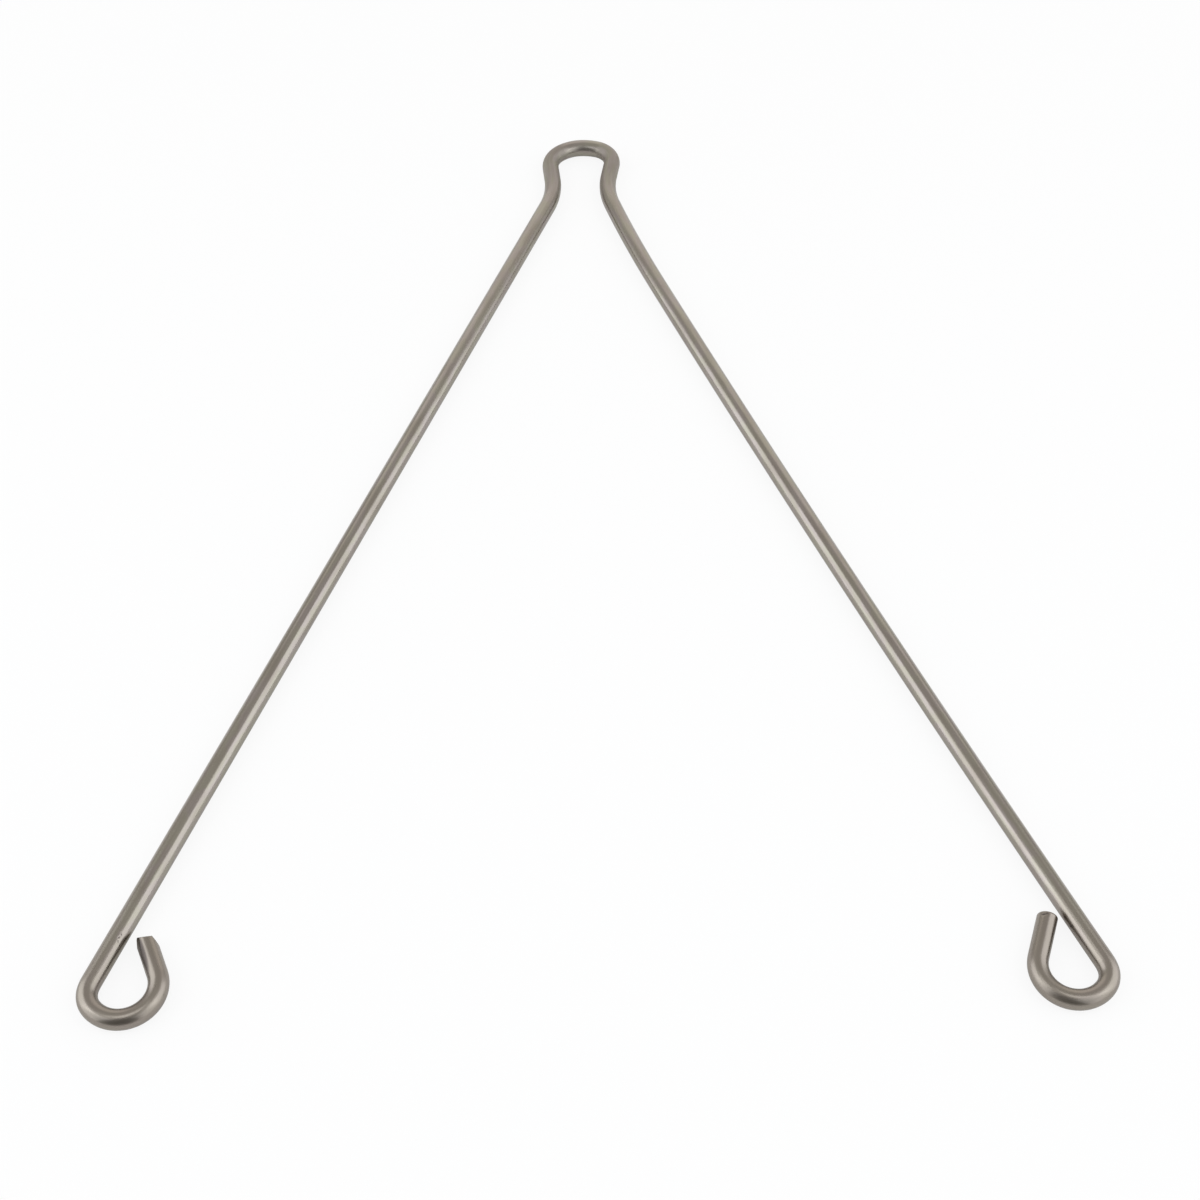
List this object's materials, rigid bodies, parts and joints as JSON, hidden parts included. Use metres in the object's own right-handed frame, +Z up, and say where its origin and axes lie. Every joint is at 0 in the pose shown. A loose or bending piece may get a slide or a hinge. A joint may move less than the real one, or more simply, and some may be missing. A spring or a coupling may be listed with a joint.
{
  "type": "bracket spring",
  "caption": "Flat V-shaped spring bent from round steel wire, with a narrow crown that goes round a screw and an open curled eye at the foot of each leg.",
  "frame": {"origin": "on the axis of the screw that goes through the crown, in the plane that the spring lies on", "axes": "+Y from the eyes to the crown, +Z up out of the plane that the spring lies in, +X to the right of the crown as seen from above"},
  "size_m": [0.1545, 0.1955, 0.0032],
  "materials": {
    "wire": "satin drawn spring steel wire, warm grey, with faint draw lines along it"
  },
  "bodies": {
    "root": {"spring_wire": "wire"}
  },
  "joints": []
}
